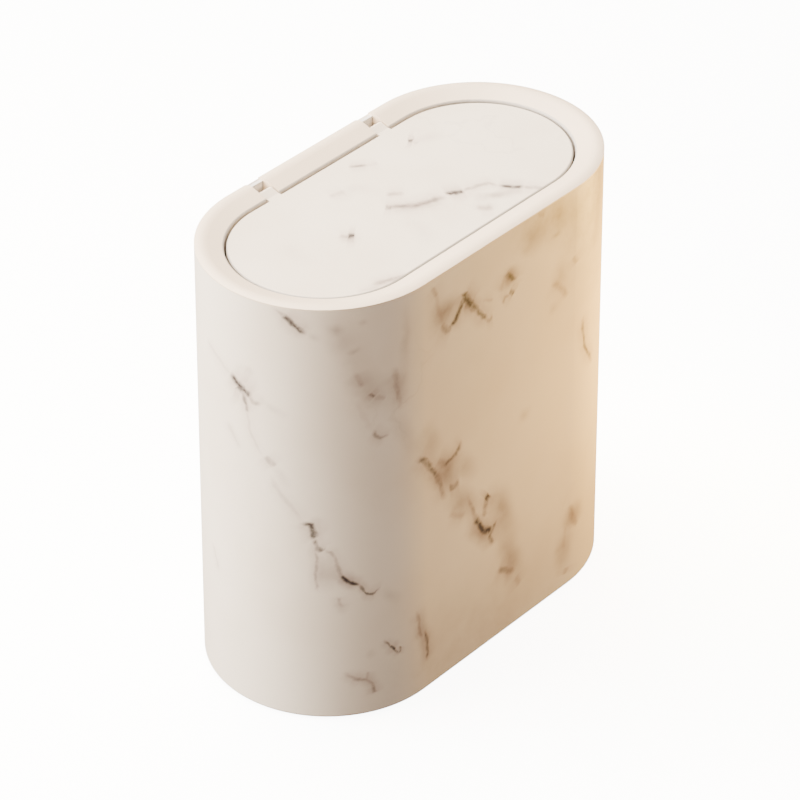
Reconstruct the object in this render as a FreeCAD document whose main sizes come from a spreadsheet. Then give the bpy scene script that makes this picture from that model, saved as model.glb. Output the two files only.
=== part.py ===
import FreeCAD, Part

import math
import operator
import os

import Sketcher

# Mini waste bin with a press-to-open lid, in millimetres.
# +Z is up, the hinge is at the rear (+Y), the latch at the front (-Y), and the origin is the
# middle of the footprint on the table.

SIZES = {
    # Plan and height: two half rounds joined by straight sides
    "half_straight": 43.0,
    "bin_height": 180.0,
    "corner_angle": 60.0,
    # Shell: a tube a little wider at the foot, rebated inside to take the base
    "shell_top_radius": 46.0,
    "shell_flare": 1.2,
    "shell_wall": 2.2,
    "shell_lift": 0.6,
    "shell_foot_rounding": 1.6,
    "rebate_height": 14.0,
    "rebate_step": 0.6,
    # Base plate and its four pads
    "base_fit": 0.1,
    "base_recess": 1.0,
    "base_floor": 2.4,
    "base_rim_wall": 1.8,
    "base_rim_gap": 0.2,
    "base_corner_rounding": 2.5,
    "pad_radius": 7.0,
    "pad_fit": 0.05,
    "pad_seat_depth": 0.8,
    "pad_edge_rounding": 0.5,
    "pad_margin": 11.5,
    # Collar: a dished ring, hollow below, with a skirt that plugs into the shell
    "crest_rounding": 6.0,
    "crest_fall": 25.0,
    "collar_edge": 0.5,
    "dish_angle": 20.0,
    "mouth_rounding": 1.0,
    "collar_wall": 1.5,
    "skirt_gap": 0.3,
    "throat_margin": 1.0,
    # Hinge: rod, the collar's snap-in bearings and the slots for the lid's arms
    "hinge_drop": 5.4,
    "slot_place": 30.4,
    "slot_width": 7.0,
    "slot_floor_gap": 0.6,
    "bearing_length": 5.0,
    "bearing_foot": 1.6,
    "bearing_mouth": 1.5,
    "bearing_end_wall": 1.2,
    "rod_radius": 0.9,
    "rod_fit": 0.03,
    "rod_end_gap": 0.3,
    "rod_chamfer": 0.25,
    # Hinge springs
    "hinge_wire_radius": 0.25,
    "hinge_coil_radius": 1.4,
    "hinge_coil_pitch": 1.0,
    "hinge_coil_gap": 0.6,
    "hinge_skirt_gap": 0.35,
    "hinge_throat_gap": 1.35,
    "hinge_leg": 6.0,
    "hinge_leg_bend": 0.8,
    "hinge_leg_gap": 0.3,
    # Lid cover and its arms
    "lid_gap": 0.8,
    "lid_recess": 0.4,
    "lid_skin": 2.0,
    "lid_depth": 6.0,
    "lid_rim_wall": 1.6,
    "lid_edge_rounding": 0.8,
    "arm_side_gap": 0.4,
    "arm_sink": 0.5,
    "arm_crown_offset": 1.0,
    "knuckle_radius": 2.0,
    # Lid liner and its bosses
    "liner_fit": 0.15,
    "liner_thickness": 1.8,
    "boss_wall": 1.6,
    "strike_boss_height": 1.4,
    "liner_screw_margin": 10.4,
    # Screws
    "screw_shank_radius": 1.0,
    "screw_head_radius": 1.9,
    "screw_head_crown_radius": 1.4,
    "screw_head_height": 1.0,
    "screw_fit": 0.05,
    "screw_tip_gap": 0.3,
    "latch_screw_length": 3.4,
    "strike_screw_length": 3.4,
    "liner_screw_length": 3.1,
    # Latch shelf on the collar, housing and end cap
    "latch_inset": 6.5,
    "press_room": 2.5,
    "shelf_thickness": 2.0,
    "shelf_reach": 13.0,
    "shelf_half_width": 13.0,
    "shelf_corner": 4.0,
    "housing_flange": 1.8,
    "housing_radius": 5.6,
    "housing_bore_radius": 4.1,
    "housing_length": 12.5,
    "ear_place": 8.6,
    "ear_radius": 3.2,
    "cap_flange": 1.2,
    "cap_plug": 1.6,
    "cap_fit": 0.05,
    # Latch plunger, magnet, spring and strike plate
    "plunger_radius": 3.2,
    "plunger_fit": 0.1,
    "plunger_flange_radius": 3.9,
    "plunger_flange": 2.5,
    "plunger_stop_gap": 0.3,
    "plunger_bore_radius": 2.3,
    "plunger_web": 1.6,
    "magnet_radius": 2.5,
    "magnet_thickness": 2.2,
    "magnet_fit": 0.05,
    "magnet_proud": 0.3,
    "latch_wire_radius": 0.25,
    "latch_coil_radius": 1.75,
    "latch_coil_gap": 0.1,
    "strike_gap": 0.3,
    "strike_half_length": 8.5,
    "strike_half_width": 4.5,
    "strike_corner": 1.5,
    "strike_thickness": 0.8,
    "strike_screw_place": 6.0,
    # How far a cut runs past the face that it opens
    "cut_overrun": 1.0,
}

HINGE_COIL_QUARTERS = 22
LATCH_COIL_QUARTERS = 28
SAMPLES_PER_QUARTER = 12
TOLERANCE = 1e-4
SIDES = {"left": -1, "right": 1}
ENDS = {"front": -1, "rear": 1}

ORIGIN = -1
START, END, CENTRE = 1, 2, 3

doc = FreeCAD.newDocument("MiniWasteBin")
sheet = doc.addObject("Spreadsheet::Sheet", "Sizes")
for row, (name, value) in enumerate(SIZES.items(), start=1):
    sheet.set(f"A{row}", name)
    sheet.set(f"B{row}", str(value))
    sheet.setAlias(f"B{row}", name)
doc.recompute()


class Size:
    """A size that keeps its formula for the document beside its number for the script."""

    def __init__(self, formula, number):
        self.formula = formula
        self.number = number

    def join(self, sign, work, other, swapped=False):
        if not isinstance(other, Size):
            other = Size(repr(other), other)
        first, second = (other, self) if swapped else (self, other)
        formula = f"({first.formula} {sign} {second.formula})"
        return Size(formula, work(first.number, second.number))

    def __add__(self, other):
        return self.join("+", operator.add, other)

    def __sub__(self, other):
        return self.join("-", operator.sub, other)

    def __rsub__(self, other):
        return self.join("-", operator.sub, other, swapped=True)

    def __mul__(self, other):
        return self.join("*", operator.mul, other)

    def __truediv__(self, other):
        return self.join("/", operator.truediv, other)

    def __neg__(self):
        return self * -1


class Named:
    """Every cell of the sheet as a Size, under its alias."""

    def __getattr__(self, name):
        return Size(f"Sizes.{name}", float(sheet.get(name)))


size = Named()
zero = Size("0", 0.0)


def sine(angle):
    return Size(f"sin({angle.formula} * 1deg)", math.sin(math.radians(angle.number)))


def cosine(angle):
    return Size(f"cos({angle.formula} * 1deg)", math.cos(math.radians(angle.number)))


# Heights and radii that several pieces share

crest_level = size.bin_height - size.crest_rounding
collar_edge_top = crest_level + size.crest_rounding * cosine(size.crest_fall)
shell_top = collar_edge_top - size.collar_edge
shell_foot_radius = size.shell_top_radius + size.shell_flare
shell_bore = size.shell_top_radius - size.shell_wall
foot_rounding_top = size.shell_lift + size.shell_foot_rounding
shell_slope = size.shell_flare / (shell_top - foot_rounding_top)
rebate_top = size.shell_lift + size.rebate_height
rebate_bore = shell_bore + (shell_top - rebate_top) * shell_slope
rebate_radius = rebate_bore + size.rebate_step

base_radius = rebate_radius - size.base_fit
base_foot = size.shell_lift + size.base_recess
base_floor_top = base_foot + size.base_floor
pad_top = base_foot + size.pad_seat_depth

dish_sine = sine(size.dish_angle)
dish_cosine = cosine(size.dish_angle)
dish_rise = dish_sine / dish_cosine
crest_centre = size.shell_top_radius - size.crest_rounding * sine(size.crest_fall)
crest_end = crest_centre - size.crest_rounding * dish_sine
crest_end_height = crest_level + size.crest_rounding * dish_cosine


def dish_height(radius):
    """Height of the collar's dished face at a distance from the middle line."""
    return crest_end_height - (crest_end - radius) * dish_rise


def corner_places(ring):
    """Four places round the plan, on circles about the centres of its two ends."""
    x = size.half_straight + ring * cosine(size.corner_angle)
    y = ring * sine(size.corner_angle)
    return [(x * side, y * end) for end in ENDS.values() for side in SIDES.values()]


# The collar's two walls stand clear of the hinge springs between them

coil_outside = size.hinge_coil_radius + size.hinge_wire_radius
skirt_radius = shell_bore - size.skirt_gap
skirt_middle = skirt_radius - size.collar_wall / 2
skirt_inside = skirt_radius - size.collar_wall
hinge_y = skirt_inside - size.hinge_skirt_gap - coil_outside
hinge_z = size.bin_height - size.hinge_drop
throat_outside = hinge_y - coil_outside - size.hinge_throat_gap
throat_middle = throat_outside - size.collar_wall / 2
mouth_radius = throat_outside - size.collar_wall
mouth_edge = dish_height(mouth_radius)
mouth_tangent = size.mouth_rounding * ((1 - dish_sine) / dish_cosine)
roof_drop = size.collar_wall / dish_cosine

slot_inner = size.slot_place - size.slot_width / 2
slot_outer = size.slot_place + size.slot_width / 2
slot_floor = hinge_z - size.knuckle_radius - size.slot_floor_gap
bore_half = slot_outer + size.bearing_length - size.bearing_end_wall
rod_half = bore_half - size.rod_end_gap
rod_hole = size.rod_radius + size.rod_fit

lid_radius = mouth_radius - size.lid_gap
lid_top = mouth_edge - size.lid_recess
lid_foot = lid_top - size.lid_depth
lid_ceiling = lid_top - size.lid_skin
lid_cavity = lid_radius - size.lid_rim_wall
liner_radius = lid_cavity - size.liner_fit
liner_top = lid_foot + size.liner_thickness
arm_width = size.slot_width - size.arm_side_gap * 2

screw_hole = size.screw_shank_radius + size.screw_fit
head_hole = size.screw_head_radius + size.screw_fit
boss_radius = screw_hole + size.boss_wall

latch_y = size.latch_inset - mouth_radius
strike_foot = lid_foot - size.strike_thickness
shelf_top = strike_foot - size.screw_head_height - size.press_room
shelf_foot = shelf_top - size.shelf_thickness
skirt_foot = shelf_foot - size.throat_margin
housing_neck = shelf_foot - size.housing_flange
housing_foot = shelf_foot - size.housing_length
cap_top = housing_foot + size.cap_plug
magnet_top = strike_foot - size.strike_gap
magnet_foot = magnet_top - size.magnet_thickness
plunger_top = magnet_top - size.magnet_proud
plunger_bore_top = magnet_foot - size.plunger_web
plunger_flange_top = housing_neck - size.plunger_stop_gap
plunger_foot = plunger_flange_top - size.plunger_flange

pad_places = corner_places(base_radius - size.pad_margin - size.pad_radius)
liner_screw_places = corner_places(liner_radius - size.liner_screw_margin)
strike_screw_places = [(size.strike_screw_place * side, latch_y) for side in SIDES.values()]
latch_screw_places = [(size.ear_place * side, latch_y) for side in SIDES.values()]


# Drawing in sketches

def sketch_on(body, name, role, lift=zero):
    """A sketch on one of the body's own origin planes, moved along the plane's normal."""
    sketch = body.newObject("Sketcher::SketchObject", name)
    plane = next(item for item in body.Origin.OriginFeatures if item.Role == role)
    sketch.AttachmentSupport = [(plane, "")]
    sketch.MapMode = "FlatFace"
    sketch.setExpression("AttachmentOffset.Base.z", lift.formula)
    return sketch


def bind(sketch, kind, *place, to):
    constraint = sketch.addConstraint(Sketcher.Constraint(kind, *place, to.number))
    sketch.setExpression(f"Constraints[{constraint}]", to.formula)


def pin(sketch, index, end, u, v):
    bind(sketch, "DistanceX", ORIGIN, START, index, end, to=u)
    bind(sketch, "DistanceY", ORIGIN, START, index, end, to=v)


def vector(u, v):
    return FreeCAD.Vector(u.number, v.number, 0)


def draw_circle(sketch, u, v, radius):
    up = FreeCAD.Vector(0, 0, 1)
    index = sketch.addGeometry(Part.Circle(vector(u, v), up, radius.number), False)
    pin(sketch, index, CENTRE, u, v)
    bind(sketch, "Radius", index, to=radius)


def draw_arc(sketch, start, end, centre):
    """The shorter arc from start to end; a half circle runs anticlockwise."""
    middle = vector(*centre)
    first = vector(*start) - middle
    last = vector(*end) - middle
    anticlockwise = first.cross(last).z > -TOLERANCE
    angles = [math.atan2(first.y, first.x), math.atan2(last.y, last.x)]
    if not anticlockwise:
        angles.reverse()
    circle = Part.Circle(middle, FreeCAD.Vector(0, 0, 1), first.Length)
    index = sketch.addGeometry(Part.ArcOfCircle(circle, *angles), False)
    chord = last - first
    if abs(chord.y) > abs(chord.x):
        bind(sketch, "DistanceX", ORIGIN, START, index, CENTRE, to=centre[0])
    else:
        bind(sketch, "DistanceY", ORIGIN, START, index, CENTRE, to=centre[1])
    return (index, START, END) if anticlockwise else (index, END, START)


def draw_outline(sketch, corners):
    """A closed loop through the corners; a third entry is the centre of the arc that ends there."""
    strokes = []
    for before, corner in zip([corners[-1]] + corners[:-1], corners):
        if len(corner) == 3:
            stroke = draw_arc(sketch, before[:2], corner[:2], corner[2])
        else:
            line = Part.LineSegment(vector(*before[:2]), vector(*corner))
            stroke = (sketch.addGeometry(line, False), START, END)
        strokes.append(stroke)
    for stroke, following, corner in zip(strokes, strokes[1:] + strokes[:1], corners):
        index, _, last = stroke
        after, first, _ = following
        sketch.addConstraint(Sketcher.Constraint("Coincident", index, last, after, first))
        pin(sketch, index, last, corner[0], corner[1])


def draw_racetrack(sketch, half, radius, v=zero):
    """Two half circles joined by straights, starting in the middle of the front straight."""
    front = v - radius
    rear = v + radius
    draw_outline(sketch, [
        (zero, front),
        (half, front),
        (half, rear, (half, v)),
        (-half, rear),
        (-half, front, (-half, v)),
    ])


def draw_rounded_box(sketch, half_u, low_v, high_v, corner):
    inner_u = half_u - corner
    inner_low = low_v + corner
    inner_high = high_v - corner
    draw_outline(sketch, [
        (-inner_u, low_v),
        (inner_u, low_v),
        (half_u, inner_low, (inner_u, inner_low)),
        (half_u, inner_high),
        (inner_u, high_v, (inner_u, inner_high)),
        (-inner_u, high_v),
        (-half_u, inner_high, (-inner_u, inner_high)),
        (-half_u, inner_low),
        (-inner_u, low_v, (-inner_u, inner_low)),
    ][1:])


def draw_box(sketch, low_u, low_v, high_u, high_v):
    draw_outline(sketch, [(low_u, low_v), (high_u, low_v), (high_u, high_v), (low_u, high_v)])


# Features

def new_body(label):
    body = doc.addObject("PartDesign::Body", label)
    body.Label = label
    return body


def pad(body, name, sketch, length):
    feature = body.newObject("PartDesign::Pad", name)
    feature.Profile = sketch
    feature.setExpression("Length", length.formula)
    return feature


def cut(body, name, sketch, length, both_ways=False):
    """A pocket along the sketch's normal, or half to each side of the sketch."""
    before = body.Tip
    feature = body.newObject("PartDesign::Pocket", name)
    feature.Profile = sketch
    feature.Reversed = not both_ways
    feature.SideType = "Symmetric" if both_ways else "One side"
    feature.setExpression("Length", length.formula)
    doc.recompute()
    if feature.Shape.Volume > before.Shape.Volume - TOLERANCE:
        raise RuntimeError(f"{body.Label}: {name} cuts nothing")
    return feature


def pad_up(body, name, foot, top, draw, *sizes):
    sketch = sketch_on(body, f"{name}_outline", "XY_Plane", foot)
    draw(sketch, *sizes)
    return pad(body, name, sketch, top - foot)


def cut_up(body, name, foot, top, draw, *sizes):
    sketch = sketch_on(body, f"{name}_outline", "XY_Plane", foot)
    draw(sketch, *sizes)
    return cut(body, name, sketch, top - foot)


def draw_circles(sketch, places, radius):
    for u, v in places:
        draw_circle(sketch, u, v, radius)


def mirror_across(body, name, role, originals):
    feature = body.newObject("PartDesign::Mirrored", name)
    feature.Originals = originals
    plane = next(item for item in body.Origin.OriginFeatures if item.Role == role)
    feature.MirrorPlane = (plane, [""])
    body.Tip = feature
    return feature


def level_edges(feature, height):
    """Names of the edges that lie flat at a height."""
    names = []
    for index, edge in enumerate(feature.Shape.Edges, start=1):
        box = edge.BoundBox
        if max(abs(box.ZMin - height.number), abs(box.ZMax - height.number)) < TOLERANCE:
            names.append(f"Edge{index}")
    return names


def round_level_edges(body, name, height, radius):
    doc.recompute()
    base = body.Tip
    feature = body.newObject("PartDesign::Fillet", name)
    feature.Base = (base, level_edges(base, height))
    feature.setExpression("Radius", radius.formula)
    return feature


def sweep_round(body, name, profile):
    """Carry a front profile of (distance from the middle line, height) round the racetrack."""
    path = sketch_on(body, f"{name}_path", "XY_Plane")
    draw_racetrack(path, size.half_straight, size.shell_top_radius)
    section = sketch_on(body, f"{name}_section", "YZ_Plane")
    corners = []
    for corner in profile:
        place = (-corner[0], corner[1])
        if len(corner) == 3:
            place += ((-corner[2][0], corner[2][1]),)
        corners.append(place)
    draw_outline(section, corners)
    feature = body.newObject("PartDesign::AdditivePipe", name)
    feature.Profile = section
    feature.Spine = path
    return feature


# Shell, base and feet

def make_shell():
    body = new_body("bin_shell")
    foot_flat = shell_foot_radius - size.shell_foot_rounding
    sweep_round(body, "wall", [
        (foot_flat, size.shell_lift),
        (shell_foot_radius, foot_rounding_top, (foot_flat, foot_rounding_top)),
        (size.shell_top_radius, shell_top),
        (shell_bore, shell_top),
        (rebate_bore, rebate_top),
        (rebate_radius, rebate_top),
        (rebate_radius, size.shell_lift),
    ])
    return body


def make_base():
    body = new_body("base_plate")
    rim_top = rebate_top - size.base_rim_gap
    pad_up(body, "tray", base_foot, rim_top, draw_racetrack, size.half_straight, base_radius)
    inside = base_radius - size.base_rim_wall
    open_top = rim_top + size.cut_overrun
    cut_up(body, "hollow", base_floor_top, open_top, draw_racetrack, size.half_straight, inside)
    round_level_edges(body, "floor_corner", base_floor_top, size.base_corner_rounding)
    below = base_foot - size.cut_overrun
    cut_up(body, "pad_seats", below, pad_top, draw_circles, pad_places, size.pad_radius + size.pad_fit)
    return body


def make_pads():
    bodies = []
    names = [f"foot_pad_{end}_{side}" for end in ENDS for side in SIDES]
    for label, (x, y) in zip(names, pad_places):
        body = new_body(label)
        pad_up(body, "disc", zero, pad_top, draw_circle, x, y, size.pad_radius)
        round_level_edges(body, "tread_edge", zero, size.pad_edge_rounding)
        bodies.append(body)
    return bodies


# Collar

def make_bearings(body):
    """Blocks under the dish beside each slot, bored for the rod and open below to snap it in."""
    blocks = []
    for name, start in (("bar_bearing", slot_inner - size.bearing_length), ("end_bearing", slot_outer)):
        section = sketch_on(body, f"{name}_section", "YZ_Plane", start)
        draw_outline(section, [
            (throat_middle, hinge_z - size.bearing_foot),
            (skirt_middle, hinge_z - size.bearing_foot),
            (skirt_middle, dish_height(skirt_middle) - roof_drop / 2),
            (throat_middle, dish_height(throat_middle) - roof_drop / 2),
        ])
        blocks.append(pad(body, name, section, size.bearing_length))
    mirror_across(body, "other_bearings", "YZ_Plane", blocks)
    hole = sketch_on(body, "rod_hole_circle", "YZ_Plane")
    draw_circle(hole, hinge_y, hinge_z, rod_hole)
    cut(body, "rod_hole", hole, bore_half * 2, both_ways=True)
    mouth = sketch_on(body, "snap_mouth_outline", "YZ_Plane")
    half_mouth = size.bearing_mouth / 2
    mouth_foot = hinge_z - size.bearing_foot - size.cut_overrun
    draw_box(mouth, hinge_y - half_mouth, mouth_foot, hinge_y + half_mouth, hinge_z)
    cut(body, "snap_mouth", mouth, bore_half * 2, both_ways=True)


def make_shelf(body):
    """Shelf inside the front of the throat that carries the latch."""
    wall = -throat_middle
    inner = size.shelf_reach - mouth_radius
    half = size.shelf_half_width
    corner_u = half - size.shelf_corner
    corner_v = inner - size.shelf_corner
    pad_up(body, "shelf", shelf_foot, shelf_top, draw_outline, [
        (-half, wall),
        (half, wall),
        (half, corner_v),
        (corner_u, inner, (corner_u, corner_v)),
        (-corner_u, inner),
        (-half, corner_v, (-corner_u, corner_v)),
    ])
    stem_hole = size.plunger_radius + size.plunger_stop_gap
    below = shelf_foot - size.cut_overrun
    above = shelf_top + size.cut_overrun
    cut_up(body, "stem_hole", below, above, draw_circle, zero, latch_y, stem_hole)
    cut_up(body, "shelf_screw_holes", below, above, draw_circles, latch_screw_places, screw_hole)


def make_collar():
    body = new_body("collar")
    sweep_round(body, "ring", [
        (size.shell_top_radius, shell_top),
        (size.shell_top_radius, collar_edge_top),
        (crest_end, crest_end_height, (crest_centre, crest_level)),
        (mouth_radius + mouth_tangent * dish_cosine, mouth_edge + mouth_tangent * dish_sine),
        (
            mouth_radius,
            mouth_edge - mouth_tangent,
            (mouth_radius + size.mouth_rounding, mouth_edge - mouth_tangent),
        ),
        (mouth_radius, skirt_foot),
        (throat_outside, skirt_foot),
        (throat_outside, dish_height(throat_outside) - roof_drop),
        (skirt_inside, dish_height(skirt_inside) - roof_drop),
        (skirt_inside, skirt_foot),
        (skirt_radius, skirt_foot),
        (skirt_radius, shell_top),
    ])
    front = mouth_radius - size.cut_overrun
    rear = size.shell_top_radius + size.cut_overrun
    above = size.bin_height + size.cut_overrun
    slot = cut_up(body, "arm_slot", slot_floor, above, draw_box, slot_inner, front, slot_outer, rear)
    mirror_across(body, "other_arm_slot", "YZ_Plane", [slot])
    make_bearings(body)
    make_shelf(body)
    return body


# Lid

def make_arms(body):
    """Two arms that run back along the dish and end in knuckles round the rod."""
    start = mouth_radius - (size.lid_recess - size.arm_sink) / dish_rise
    flat_end = lid_radius - size.lid_edge_rounding * 1.5
    root = lid_radius - size.lid_rim_wall / 2
    inside = lid_top - size.lid_skin / 2
    underside = hinge_z - size.knuckle_radius
    crown_y = hinge_y - size.arm_crown_offset
    crown_z = dish_height(crown_y) - size.arm_sink
    reach = size.knuckle_radius + size.arm_crown_offset
    height = crown_z - hinge_z
    crown_radius = (reach * reach + height * height) / (reach * 2)
    knuckle_rear = hinge_y + size.knuckle_radius
    section = sketch_on(body, "arm_section", "YZ_Plane", size.slot_place - arm_width / 2)
    draw_outline(section, [
        (start, lid_top),
        (flat_end, lid_top),
        (flat_end, inside),
        (root, inside),
        (root, underside),
        (hinge_y, underside),
        (knuckle_rear, hinge_z, (hinge_y, hinge_z)),
        (crown_y, crown_z, (knuckle_rear - crown_radius, hinge_z)),
    ])
    arm = pad(body, "arm", section, arm_width)
    mirror_across(body, "other_arm", "YZ_Plane", [arm])
    hole = sketch_on(body, "arm_hole_circle", "YZ_Plane")
    draw_circle(hole, hinge_y, hinge_z, rod_hole)
    cut(body, "arm_hole", hole, bore_half * 2, both_ways=True)


def make_lid_cover():
    body = new_body("lid_cover")
    pad_up(body, "panel", lid_foot, lid_top, draw_racetrack, size.half_straight, lid_radius)
    round_level_edges(body, "panel_edge", lid_top, size.lid_edge_rounding)
    below = lid_foot - size.cut_overrun
    cut_up(body, "cavity", below, lid_ceiling, draw_racetrack, size.half_straight, lid_cavity)
    boss_top = lid_ceiling + size.lid_skin / 2
    pad_up(body, "bosses", liner_top, boss_top, draw_circles, liner_screw_places, boss_radius)
    tip = lid_foot + size.screw_head_height + size.liner_screw_length + size.screw_tip_gap
    cut_up(body, "boss_holes", below, tip, draw_circles, liner_screw_places, screw_hole)
    make_arms(body)
    return body


def make_lid_liner():
    body = new_body("lid_liner")
    pad_up(body, "plate", lid_foot, liner_top, draw_racetrack, size.half_straight, liner_radius)
    boss_top = liner_top + size.strike_boss_height
    boss_root = lid_foot + size.liner_thickness / 2
    pad_up(body, "strike_bosses", boss_root, boss_top, draw_circles, strike_screw_places, boss_radius)
    below = lid_foot - size.cut_overrun
    above = boss_top + size.cut_overrun
    cut_up(body, "strike_holes", below, above, draw_circles, strike_screw_places, screw_hole)
    cut_up(body, "liner_holes", below, above, draw_circles, liner_screw_places, screw_hole)
    head_top = lid_foot + size.screw_head_height
    cut_up(body, "head_seats", below, head_top, draw_circles, liner_screw_places, head_hole)
    return body


def make_strike_plate():
    body = new_body("strike_plate")
    low = latch_y - size.strike_half_width
    high = latch_y + size.strike_half_width
    half = size.strike_half_length
    pad_up(body, "plate", strike_foot, lid_foot, draw_rounded_box, half, low, high, size.strike_corner)
    below = strike_foot - size.cut_overrun
    above = lid_foot + size.cut_overrun
    cut_up(body, "screw_holes", below, above, draw_circles, strike_screw_places, screw_hole)
    return body


# Latch

def make_housing():
    body = new_body("latch_housing")
    pad_up(body, "ears", housing_neck, shelf_foot, draw_racetrack, size.ear_place, size.ear_radius, latch_y)
    pad_up(body, "barrel", housing_foot, shelf_foot, draw_circle, zero, latch_y, size.housing_radius)
    below = housing_foot - size.cut_overrun
    above = shelf_foot + size.cut_overrun
    cut_up(body, "barrel_bore", below, housing_neck, draw_circle, zero, latch_y, size.housing_bore_radius)
    neck = size.plunger_radius + size.plunger_fit
    cut_up(body, "neck_hole", below, above, draw_circle, zero, latch_y, neck)
    cut_up(body, "ear_holes", below, above, draw_circles, latch_screw_places, screw_hole)
    return body


def make_end_cap():
    body = new_body("latch_end_cap")
    cap_foot = housing_foot - size.cap_flange
    plug = size.housing_bore_radius - size.cap_fit
    pad_up(body, "flange", cap_foot, housing_foot, draw_circle, zero, latch_y, size.housing_radius)
    pad_up(body, "plug", cap_foot, cap_top, draw_circle, zero, latch_y, plug)
    return body


def make_plunger():
    body = new_body("latch_plunger")
    wide = size.plunger_flange_radius
    pad_up(body, "stem", plunger_foot, plunger_top, draw_circle, zero, latch_y, size.plunger_radius)
    pad_up(body, "flange", plunger_foot, plunger_flange_top, draw_circle, zero, latch_y, wide)
    below = plunger_foot - size.cut_overrun
    above = plunger_top + size.cut_overrun
    seat = size.magnet_radius + size.magnet_fit
    cut_up(body, "spring_bore", below, plunger_bore_top, draw_circle, zero, latch_y, size.plunger_bore_radius)
    cut_up(body, "magnet_seat", magnet_foot, above, draw_circle, zero, latch_y, seat)
    return body


def make_magnet():
    body = new_body("latch_magnet")
    pad_up(body, "disc", magnet_foot, magnet_top, draw_circle, zero, latch_y, size.magnet_radius)
    return body


# Rod, screws and springs

def make_rod():
    body = new_body("hinge_rod")
    sketch = sketch_on(body, "rod_circle", "YZ_Plane", -rod_half)
    draw_circle(sketch, hinge_y, hinge_z, size.rod_radius)
    bar = pad(body, "bar", sketch, rod_half * 2)
    doc.recompute()
    feature = body.newObject("PartDesign::Chamfer", "rod_ends")
    rims = [f"Edge{i}" for i, edge in enumerate(bar.Shape.Edges, start=1) if edge.isClosed()]
    feature.Base = (bar, rims)
    feature.setExpression("Size", size.rod_chamfer.formula)
    return body


def move_to(part, x, y, z):
    for axis, place in zip("xyz", (x, y, z)):
        part.setExpression(f"Placement.Base.{axis}", place.formula)


def make_screws(label, places, seat, length):
    """A group of pan-head screws driven upwards, with their heads below the seat."""
    screws = []
    for x, y in places:
        shank = doc.addObject("Part::Cylinder", f"{label}_shank")
        shank.setExpression("Radius", size.screw_shank_radius.formula)
        shank.setExpression("Height", length.formula)
        move_to(shank, x, y, seat)
        head = doc.addObject("Part::Cone", f"{label}_head")
        head.setExpression("Radius1", size.screw_head_crown_radius.formula)
        head.setExpression("Radius2", size.screw_head_radius.formula)
        head.setExpression("Height", size.screw_head_height.formula)
        move_to(head, x, y, seat - size.screw_head_height)
        screw = doc.addObject("Part::Fuse", f"{label}_screw")
        screw.Base = shank
        screw.Tool = head
        screws.append(screw)
    group = doc.addObject("Part::Compound", label)
    group.Links = screws
    group.Label = label
    return group


def tangent_arc(start, corner, end):
    """The arc from start to end whose end tangents meet at the corner."""
    middle = (start + end) * 0.5
    turn = math.atan2((corner - middle).Length, (end - start).Length / 2)
    top = middle + (corner - middle) * (math.tan(turn / 2) / math.tan(turn))
    return Part.Arc(start, top, end).toShape()


def biarc(start, start_way, end, end_way):
    """Two arcs that join two points and keep to the direction at each."""
    gap = end - start
    along = gap.dot(start_way + end_way)
    spread = 2 * (1 - start_way.dot(end_way))
    reach = (math.sqrt(along * along + spread * gap.dot(gap)) - along) / spread
    joint = (start + end + (start_way - end_way) * reach) * 0.5
    first = tangent_arc(start, start + start_way * reach, joint)
    return [first, tangent_arc(joint, end - end_way * reach, end)]


def coil_arcs(radius, pitch, quarters):
    """A helix about Z in quarter turns, level where it starts and ends."""
    arcs = []
    before = None
    for quarter in range(quarters + 1):
        angle = math.radians(90 * quarter)
        rise = 0 if quarter in (0, quarters) else pitch / (2 * math.pi * radius)
        point = FreeCAD.Vector(radius * math.cos(angle), radius * math.sin(angle), pitch * quarter / 4)
        way = FreeCAD.Vector(-math.sin(angle), math.cos(angle), rise).normalize()
        if before:
            arcs += biarc(*before, point, way)
        before = (point, way)
    return arcs


def wire_tube(label, edges, radius, quarters):
    """Round wire along joined edges; prints the least gap between its turns."""
    path = Part.Wire(edges)
    first = edges[0]
    ring = Part.makeCircle(radius, first.firstVertex().Point, first.tangentAt(first.FirstParameter))
    points = path.discretize(Number=quarters * SAMPLES_PER_QUARTER)
    skip = 2 * SAMPLES_PER_QUARTER
    least = min(
        (points[i] - points[j]).Length for i in range(len(points)) for j in range(i + skip, len(points))
    )
    print(f"{label}: least gap between turns {least - 2 * radius:.2f} mm")
    return path.makePipeShell([Part.Wire(ring)], True, False)


def add_wire_part(label, shape, placement):
    part = doc.addObject("Part::Feature", label)
    part.Label = label
    part.Shape = shape
    part.Placement = placement
    return part


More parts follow.
